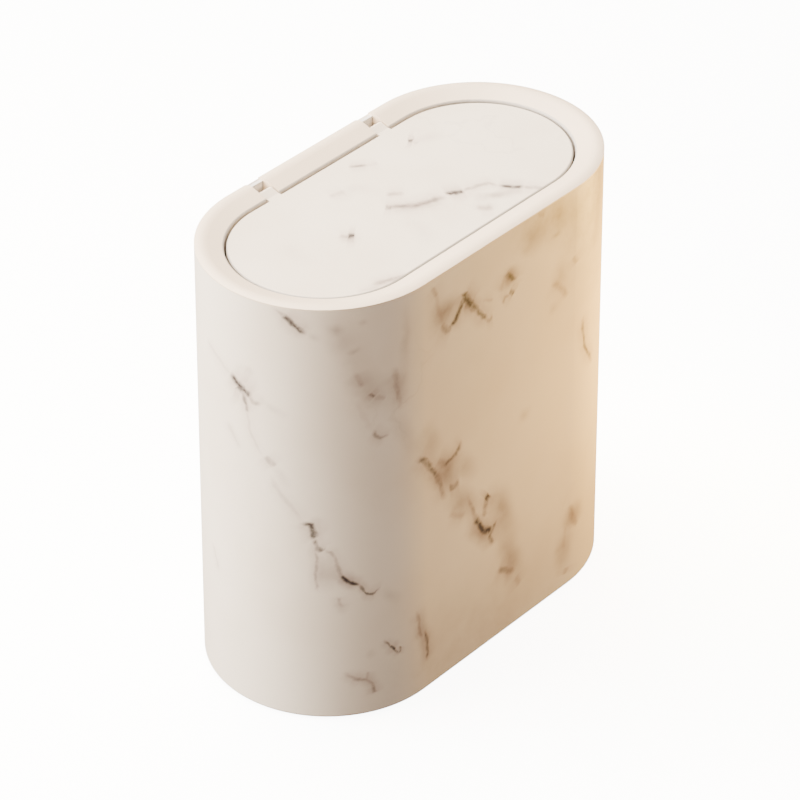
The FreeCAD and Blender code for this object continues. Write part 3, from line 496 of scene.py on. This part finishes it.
def draw_strokes(finish, surface, strokes, halo=0.0):
    """The darkness of all the strokes; veins have a halo and clouds have none."""
    for name, (places, width, darkness) in strokes.items():
        settings = {"node_tree": stroke_group(name, places, width, darkness, halo)}
        surface = finish.add("ShaderNodeGroup", settings, {"Surface": surface}, "Surface")
    return finish.vector("DOT_PRODUCT", surface, (0.0, 0.0, 1.0), "Value")


def ragged(finish, surface, look):
    """The print's own surface pushed about by noise, so that strokes come out ragged."""
    wide = (look.wander_size, look.wander_depth)
    fine = (look.wander_size * FINE_WANDER_SIZE, look.wander_depth * FINE_WANDER_DEPTH)
    for size, depth in (wide, fine):
        noise = finish.noise(finish.place, size, 2.0, output="Color")
        centred = finish.vector("SUBTRACT", noise, (0.5, 0.5, 0.5))
        push = finish.vector("MULTIPLY", centred, (depth, depth, 0.0))
        surface = finish.vector("ADD", surface, push)
    return surface


def print_marble(finish, surface, veins, clouds, look, cloud_share=1.0):
    """Cream ground darkened towards the foot by painted shade, soft clouds, some of which are
    painted shade, and dark broken veins; gives the colour and the veins' mask.
    """
    pushed = ragged(finish, surface, look)
    drift = finish.smooth(finish.noise(finish.place, DRIFT_SIZE), 0.35, 0.7)
    ground = finish.blend(drift, opaque(look.ground), opaque(look.drift))
    # Painted shade: the ground darkens towards the foot, where light falls off
    height = finish.split(finish.place)[2]
    low = finish.smooth(height, PAINTED_FOOT_SHADE_HEIGHT, 0.0, look.foot_shade)
    ground = finish.blend(low, ground, opaque(look.drift, PAINTED_FOOT_SHADE_TONE))
    mottle = finish.noise(finish.place, MOTTLE_SIZE, 5.0, 0.62)
    # The clouds include the shell's painted shade strokes at the corner, the edge and the foot
    cloud = draw_strokes(finish, pushed, clouds) * (mottle * 1.5 + 0.25) * cloud_share
    ground = finish.blend(cloud, ground, opaque(look.cloud))
    ridge = abs(finish.noise(finish.place, HAIR_SIZE, 4.0, 0.55) - 0.5)
    patch = finish.smooth(finish.noise(finish.place, HAIR_PATCH_SIZE, 1.0), 0.5, 0.68)
    hair = finish.smooth(ridge, HAIR_WIDTH, 0.0, look.hairline) * patch
    ground = finish.blend(hair, ground, opaque(look.cloud))
    grain = finish.smooth(finish.noise(finish.place, VEIN_GRAIN_SIZE, 4.0, 0.6), 0.3, 0.62)
    vein = draw_strokes(finish, pushed, veins, look.halo) * (grain * 0.3 + 0.7)
    heart = finish.smooth(vein, 0.2, 0.8)
    ink = finish.blend(heart, opaque(look.vein_edge), opaque(look.vein))
    return finish.blend(vein, ground, ink), vein


def marble_finish(name, look):
    """The printed film's satin skin, still without its print."""
    finish = Finish(name, look.roughness, specular=0.4)
    finish.bump(finish.noise(finish.place, FILM_GRAIN_SIZE, 2.0), FILM_GRAIN_DEPTH, 0.5)
    return finish


def round_plan(finish):
    """Place along the plan's straight middle line, the two offsets from it, distance, height."""
    x, y, z = finish.split(finish.place)
    limits = {"Value": x, "Min": -STRAIGHT, "Max": STRAIGHT}
    middle = finish.add("ShaderNodeClamp", inputs=limits)
    out = x - middle
    return middle, out, y, finish.math("SQRT", out * out + y * y), z


def painted_gap_shade(finish):
    """Painted shade: one on the walls of the gap round the lid, below its rim, where the gap lies
    in shadow.
    """
    *_, distance, z = round_plan(finish)
    near = finish.smooth(abs(distance - (LID_RADIUS + LID_GAP / 2)), 1.1 * MM, 0.8 * MM)
    return near * finish.smooth(z, LID_TOP - 0.2 * MM, LID_TOP - 0.8 * MM)


def unroll_shell(finish, look):
    """Distance round the shell and height, where clouds may lie, and what is outside.

    Each half turn starts afresh at the seam, and clouds fade before the seam.
    """
    middle, out, y, distance, z = round_plan(finish)
    past_seam = out * math.sin(look.seam_angle) + y * -math.cos(look.seam_angle)
    side = (past_seam > 0.0) * 2.0 - 1.0
    cloud_share = finish.smooth(abs(past_seam), 1.0 * MM, SEAM_FADE)
    turn = finish.math("ARCTAN2", out * side, y * side * -1.0)
    surface = finish.join(middle * side + turn * TOP_RADIUS, z, 0.0)
    slope = (FOOT_RADIUS - TOP_RADIUS) / SHELL_TOP
    outside = distance > (SHELL_TOP - z) * slope + (TOP_RADIUS - OUTSIDE_DEPTH)
    return surface, cloud_share, outside


# Plain finishes

def plastic_finish(name, tone, look, gap=False):
    """Moulded plastic: an even tone with faint flow marks and a fine grain, and with gap, painted
    shade in the gap round the lid.
    """
    finish = Finish(name, look.roughness, specular=0.4)
    flow = finish.smooth(finish.noise(finish.place, FLOW_SIZE), 0.3, 0.7)
    shown = finish.blend(flow, opaque(tone), opaque(tone, FLOW_TONE))
    # With gap, the walls of the gap round the lid take the gap tone as painted shade
    finish.colour(finish.blend(painted_gap_shade(finish), shown, opaque(look.gap)) if gap else shown)
    grain = finish.noise(finish.place, look.grain, 2.0)
    finish.roughness(grain * 0.12 + (look.roughness - 0.06))
    finish.bump(grain, MOULD_GRAIN_DEPTH, 0.6)
    return finish


def rubber_finish(name, look):
    """Dusty matte rubber."""
    finish = Finish(name, 0.8, specular=0.3)
    dust = finish.noise(finish.place, DUST_SIZE, 4.0)
    finish.colour(finish.blend(dust * 0.5, opaque(look.rubber), opaque(DUST_TONE)))
    finish.bump(finish.noise(finish.place, RUBBER_GRAIN_SIZE), RUBBER_GRAIN_DEPTH, 0.8)
    return finish


def metal_finish(name, tone, roughness, streak):
    """Plated metal with streaks; streak stretches them along X, Y and Z."""
    finish = Finish(name, roughness, metallic=1.0)
    drawn = finish.add("ShaderNodeMapping", inputs={"Vector": finish.place, "Scale": streak})
    lines = finish.noise(drawn, STREAK_SIZE)
    blotch = finish.noise(finish.place, BLOTCH_SIZE)
    finish.colour(finish.blend(blotch * 0.6, opaque(tone), opaque(tone, BLOTCH_TONE)))
    finish.roughness(lines * 0.22 + (roughness - 0.11))
    finish.bump(lines, STREAK_DEPTH, 0.5)
    return finish


# Sizes and colours that a user would change

def a_length(name, description, default):
    return FloatProperty(
        name=name, description=description, default=default, min=0.0, precision=5, unit="LENGTH"
    )


def a_share(name, description, default):
    return FloatProperty(
        name=name, description=description, default=default, min=0.0, max=1.0, subtype="FACTOR"
    )


def a_colour(name, description, default):
    return FloatVectorProperty(
        name=name, description=description, default=default, min=0.0, max=1.0, subtype="COLOR"
    )


def an_angle(name, description, degrees):
    return FloatProperty(
        name=name, description=description, default=math.radians(degrees), subtype="ANGLE"
    )


def a_power(name, description, default):
    return FloatProperty(
        name=name, description=description, default=default, min=0.0, subtype="POWER"
    )


class MarblePrint(bpy.types.PropertyGroup):
    """Tones and strokes of the printed film"""

    ground: a_colour("Ground", "Cream ground of the print", (0.835, 0.735, 0.615))
    drift: a_colour("Drift", "Ground where it drifts darker", (0.775, 0.665, 0.54))
    # The cloud tone also colours the shell's painted shade strokes
    cloud: a_colour("Cloud", "Soft clouds beside the veins", (0.225, 0.155, 0.128))
    vein_edge: a_colour("Vein edge", "Thin edges of the veins", (0.17, 0.072, 0.07))
    vein: a_colour("Vein", "Hearts of the veins", (0.024, 0.011, 0.011))
    # Painted shade towards the foot, not a tone of the print
    foot_shade: a_share("Painted foot shade", "How much the ground darkens towards the foot", 0.18)
    halo: a_share("Halo", "Shade beside a vein's core", 0.36)
    hairline: a_share("Hairlines", "Darkness of the faint lines between the veins", 0.10)
    wander_size: a_length("Wander size", "How far apart a vein's kinks lie", 0.012)
    wander_depth: a_length("Wander depth", "How far noise pushes a vein aside", 0.0038)
    roughness: a_share("Roughness", "Satin of the printed film", 0.42)
    seam_angle: an_angle("Seam angle", "Middle of the print's first half turn", -49.7)


class MouldedPlastic(bpy.types.PropertyGroup):
    """Tones of the moulded pieces and the pads"""

    collar: a_colour("Collar", "Off-white collar", (0.82, 0.67, 0.505))
    # Painted shade: the tone of the shadow in the narrow gap round the lid
    gap: a_colour("Painted gap shade", "Walls of the narrow gap round the lid", (0.48, 0.43, 0.38))
    liner: a_colour("Liner", "Lid liner and the shell's inside", (0.74, 0.72, 0.68))
    base: a_colour("Base", "Base plate", (0.68, 0.66, 0.62))
    latch: a_colour("Latch", "Latch housing and end cap", (0.34, 0.34, 0.33))
    plunger: a_colour("Plunger", "Latch plunger", (0.78, 0.78, 0.76))
    rubber: a_colour("Rubber", "Foot pads", (0.022, 0.022, 0.023))
    grain: a_length("Grain", "Size of the moulded grain", 0.0007)
    roughness: a_share("Roughness", "Matte of the moulded faces", 0.5)


class PlatedMetal(bpy.types.PropertyGroup):
    """Tones of the metal pieces"""

    zinc: a_colour("Zinc", "Rod, strike plate and screws", (0.56, 0.56, 0.57))
    wire: a_colour("Wire", "Spring wire", (0.42, 0.42, 0.43))
    nickel: a_colour("Nickel", "Magnet", (0.66, 0.64, 0.60))


class LatchCoil(bpy.types.PropertyGroup):
    """Make of the latch spring"""

    wire: a_length("Wire", "Half the thickness of the latch spring's wire", 0.00025)
    turns: IntProperty(name="Turns", description="Turns of the latch spring", default=7, min=1)


class Studio(bpy.types.PropertyGroup):
    """Floor, lights and camera"""

    floor: a_colour("Floor", "Pale floor", (0.93, 0.93, 0.92))
    floor_glow: FloatProperty(
        name="Floor glow", description="Glow of the lit paper", default=10.0, min=0.0
    )
    lens: FloatProperty(
        name="Lens", description="Focal length in millimetres", default=176.276, min=1.0
    )
    turn: an_angle("Turn", "Camera's angle round the bin, from the front", -49.62)
    tilt: an_angle("Tilt", "Camera's angle above the floor", 34.399)
    distance: a_length("Distance", "From the camera to the bin's middle", 1.45985)
    key: a_power("Key light", "Large soft light at the left", 110.0)
    key_tint: a_colour("Key tint", "Colour of the key light", (1.0, 0.955, 0.885))
    top: a_power("Top light", "Large soft light above", 76.0)
    top_tint: a_colour("Top tint", "Colour of the top light", (1.0, 0.91, 0.795))
    fill: a_power("Fill light", "Weak soft light at the near end", 5.5)
    fill_tint: a_colour("Fill tint", "Colour of the fill light", (1.0, 0.84, 0.68))
    lamp: a_power("Warm lamp", "Soft warm light at the right", 1.1)
    lamp_tint: a_colour("Lamp tint", "Colour of the warm lamp", (1.0, 0.60, 0.13))
    sky: a_share("Sky", "Even light from all round", 0.50)
    sky_tint: a_colour("Sky tint", "Colour of the even light", (1.0, 0.82, 0.67))


class MiniBin(bpy.types.PropertyGroup):
    """All that a user would change"""

    marble: PointerProperty(type=MarblePrint)
    plastic: PointerProperty(type=MouldedPlastic)
    metal: PointerProperty(type=PlatedMetal)
    coil: PointerProperty(type=LatchCoil)
    studio: PointerProperty(type=Studio)


# Operators

def show(name, data):
    """A new object at the origin, linked to the scene."""
    thing = bpy.data.objects.new(name, data)
    bpy.context.scene.collection.objects.link(thing)
    return thing


def settle(shape, name):
    """The mesh of a finished bmesh."""
    mesh = bpy.data.meshes.new(name)
    shape.to_mesh(mesh)
    shape.free()
    return mesh


class MINIBIN_OT_shell(bpy.types.Operator):
    """Print the shell with marble outside and leave its inside plain"""

    bl_idname = "mini_bin.shell"
    bl_label = "Shell"

    def execute(self, context):
        look = context.scene.mini_bin
        finish = marble_finish("shell_marble", look.marble)
        surface, cloud_share, outside = unroll_shell(finish, look.marble)
        marble, vein = print_marble(
            finish, surface, SHELL_VEINS, SHELL_CLOUDS_AND_PAINTED_SHADE, look.marble, cloud_share
        )
        finish.colour(finish.blend(outside, opaque(look.plastic.liner), marble))
        finish.roughness(vein * VEIN_GLOSS_LOSS + look.marble.roughness)
        finish.dress("bin_shell")
        return {"FINISHED"}


class MINIBIN_OT_lid(bpy.types.Operator):
    """Print the lid with marble and give its liner a plain finish"""

    bl_idname = "mini_bin.lid"
    bl_label = "Lid"

    def execute(self, context):
        look = context.scene.mini_bin
        finish = marble_finish("lid_marble", look.marble)
        x, y, _ = finish.split(finish.place)
        surface = finish.join(x, y, 0.0)
        marble, vein = print_marble(finish, surface, LID_VEINS, LID_CLOUDS, look.marble)
        clear_of_arms = finish.smooth(y, LID_RADIUS - 2 * MM, LID_RADIUS - 5 * MM)
        # Painted shade on the lid's side where it faces the gap, kept clear of the arms
        edge = painted_gap_shade(finish) * clear_of_arms
        finish.colour(finish.blend(edge, marble, opaque(look.plastic.gap)))
        finish.roughness(vein * VEIN_GLOSS_LOSS + look.marble.roughness)
        finish.dress("lid_cover")
        plastic_finish("liner_plastic", look.plastic.liner, look.plastic).dress("lid_liner")
        return {"FINISHED"}


class MINIBIN_OT_collar(bpy.types.Operator):
    """Give the collar its off-white moulded finish"""

    bl_idname = "mini_bin.collar"
    bl_label = "Collar"

    def execute(self, context):
        plastic = context.scene.mini_bin.plastic
        # The collar's finish paints shade on the walls of the gap round the lid
        plastic_finish("collar_plastic", plastic.collar, plastic, gap=True).dress("collar")
        return {"FINISHED"}


class MINIBIN_OT_base(bpy.types.Operator):
    """Finish the base plate and its rubber pads"""

    bl_idname = "mini_bin.base"
    bl_label = "Base and pads"

    def execute(self, context):
        plastic = context.scene.mini_bin.plastic
        plastic_finish("base_plastic", plastic.base, plastic).dress("base_plate")
        pads = [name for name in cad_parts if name.startswith("foot_pad")]
        rubber_finish("pad_rubber", plastic).dress(*pads)
        return {"FINISHED"}


class MINIBIN_OT_hinge(bpy.types.Operator):
    """Finish the hinge rod and its springs"""

    bl_idname = "mini_bin.hinge"
    bl_label = "Hinge"

    def execute(self, context):
        metal = context.scene.mini_bin.metal
        metal_finish("rod_zinc", metal.zinc, 0.34, ALONG_ROD).dress("hinge_rod")
        springs = ("hinge_spring_left", "hinge_spring_right")
        metal_finish("spring_wire", metal.wire, 0.38, EVEN).dress(*springs)
        return {"FINISHED"}


class MINIBIN_OT_latch(bpy.types.Operator):
    """Finish the push latch and its strike plate, and wind the latch spring"""

    bl_idname = "mini_bin.latch"
    bl_label = "Latch"

    def execute(self, context):
        look = context.scene.mini_bin
        plastic, metal = look.plastic, look.metal
        housing = plastic_finish("latch_plastic", plastic.latch, plastic)
        housing.dress("latch_housing", "latch_end_cap")
        plastic_finish("plunger_plastic", plastic.plunger, plastic).dress("latch_plunger")
        metal_finish("magnet_nickel", metal.nickel, 0.22, EVEN).dress("latch_magnet")
        metal_finish("strike_zinc", metal.zinc, 0.36, ALONG_PLATE).dress("strike_plate")
        screws = ("liner_screws", "latch_screws", "strike_screws")
        metal_finish("screw_zinc", metal.zinc, 0.32, ALONG_SCREW).dress(*screws)
        self.wind_spring(look.coil.wire, look.coil.turns, metal.wire)
        return {"FINISHED"}

    def wind_spring(self, wire, turns, tone):
        """A coil between the end cap and the plunger, wound at one fixed length; the spring
        shortens as the lid is pressed, but this coil does not.
        """
        low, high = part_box("latch_spring")
        middle = Vector(((low.x + high.x) / 2, (low.y + high.y) / 2, low.z + wire))
        radius = (high.x - low.x) / 2 - wire
        rise = high.z - low.z - 2 * wire
        steps = turns * COIL_STEPS
        start = Matrix.Translation(middle + Vector((radius, 0, 0)))
        upright = start @ Matrix.Rotation(math.pi / 2, 4, "X")
        shape = bmesh.new()
        ring = bmesh.ops.create_circle(shape, segments=WIRE_SIDES, radius=wire, matrix=upright)
        bmesh.ops.spin(
            shape,
            geom=[*ring["verts"], *shape.edges],
            cent=middle,
            axis=(0.0, 0.0, 1.0),
            dvec=(0.0, 0.0, rise / steps),
            angle=math.tau * turns,
            steps=steps,
        )
        ends = [edge for edge in shape.edges if edge.is_boundary]
        bmesh.ops.holes_fill(shape, edges=ends, sides=WIRE_SIDES)
        bmesh.ops.recalc_face_normals(shape, faces=shape.faces)
        for face in shape.faces:
            face.smooth = len(face.verts) == 4
        coil = show("latch_coil", settle(shape, "latch_coil"))
        coil.data.materials.append(metal_finish("coil_wire", tone, 0.38, EVEN).material)
        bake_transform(coil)
        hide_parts("latch_spring")


class MINIBIN_OT_stage(bpy.types.Operator):
    """Set the floor, the soft lights and the camera"""

    bl_idname = "mini_bin.stage"
    bl_label = "Stage"

    def execute(self, context):
        studio = context.scene.mini_bin.studio
        self.lay_floor(studio)
        lights = (
            ("key_light", (-0.97, 0.90, 0.55), 1.0, studio.key, studio.key_tint),
            ("top_light", (0.0, 0.4, 1.35), 1.0, studio.top, studio.top_tint),
            ("fill_light", (-0.95, -0.5, 0.4), 0.8, studio.fill, studio.fill_tint),
            ("warm_lamp", (0.17, -0.105, 0.115), 0.08, studio.lamp, studio.lamp_tint),
        )
        for name, place, side, strength, tint in lights:
            self.hang_light(name, place, side, strength, tint)
        self.set_sky(studio)
        self.set_camera(studio)
        return {"FINISHED"}

    def lay_floor(self, studio):
        shape = bmesh.new()
        bmesh.ops.create_grid(shape, x_segments=2, y_segments=2, size=FLOOR_REACH)
        floor = show("floor", settle(shape, "floor"))
        finish = Finish("floor_paper", 0.9, specular=0.1)
        finish.colour(opaque(studio.floor))
        finish.shader.inputs["Emission Color"].default_value = opaque(studio.floor)
        finish.shader.inputs["Emission Strength"].default_value = studio.floor_glow
        floor.data.materials.append(finish.material)
        floor.visible_diffuse = False
        floor.visible_glossy = False

    def hang_light(self, name, place, side, strength, tint):
        """A square light that faces the bin's middle."""
        light = bpy.data.lights.new(name, "AREA")
        light.shape = "SQUARE"
        light.size = side
        light.energy = strength
        light.color = tint
        lamp = show(name, light)
        lamp.location = place
        lamp.rotation_euler = (MIDDLE - lamp.location).to_track_quat("-Z", "Y").to_euler()

    def set_sky(self, studio):
        world = bpy.data.worlds.new("studio_sky")
        world.use_nodes = True
        sky = world.node_tree.nodes["Background"]
        sky.inputs["Color"].default_value = opaque(studio.sky_tint)
        sky.inputs["Strength"].default_value = studio.sky
        bpy.context.scene.world = world

    def set_camera(self, studio):
        level = math.cos(studio.tilt)
        back = Vector((
            math.sin(studio.turn) * level,
            -math.cos(studio.turn) * level,
            math.sin(studio.tilt),
        ))
        right = Vector((math.cos(studio.turn), math.sin(studio.turn), 0.0))
        aim = MIDDLE - right * SHIFT_RIGHT - back.cross(right) * SHIFT_UP
        camera = bpy.data.cameras.new("camera")
        camera.lens = studio.lens
        camera.sensor_width = SENSOR_WIDTH
        camera.clip_end = 20.0
        eye = show("camera", camera)
        eye.location = aim + back * studio.distance
        eye.rotation_euler = (math.pi / 2 - studio.tilt, 0.0, studio.turn)
        bpy.context.scene.camera = eye


OPERATORS = (
    MINIBIN_OT_shell,
    MINIBIN_OT_lid,
    MINIBIN_OT_collar,
    MINIBIN_OT_base,
    MINIBIN_OT_hinge,
    MINIBIN_OT_latch,
    MINIBIN_OT_stage,
)


class MINIBIN_PT_panel(bpy.types.Panel):
    """Lists the bin's pieces and its stage"""

    bl_idname = "MINIBIN_PT_panel"
    bl_label = "Mini Bin"
    bl_space_type = "VIEW_3D"
    bl_region_type = "UI"
    bl_category = "Mini Bin"

    def draw(self, context):
        for operator in OPERATORS:
            self.layout.operator(operator.bl_idname)


GROUPS = (MarblePrint, MouldedPlastic, PlatedMetal, LatchCoil, Studio, MiniBin)
CLASSES = (*GROUPS, *OPERATORS, MINIBIN_PT_panel)


def register():
    for item in CLASSES:
        bpy.utils.register_class(item)
    bpy.types.Scene.mini_bin = PointerProperty(type=MiniBin)


def unregister():
    del bpy.types.Scene.mini_bin
    for item in reversed(CLASSES):
        bpy.utils.unregister_class(item)


def main():
    register()
    for operator in OPERATORS:
        name = operator.bl_idname.split(".")[1]
        getattr(bpy.ops.mini_bin, name)()


if __name__ == "__main__":
    main()
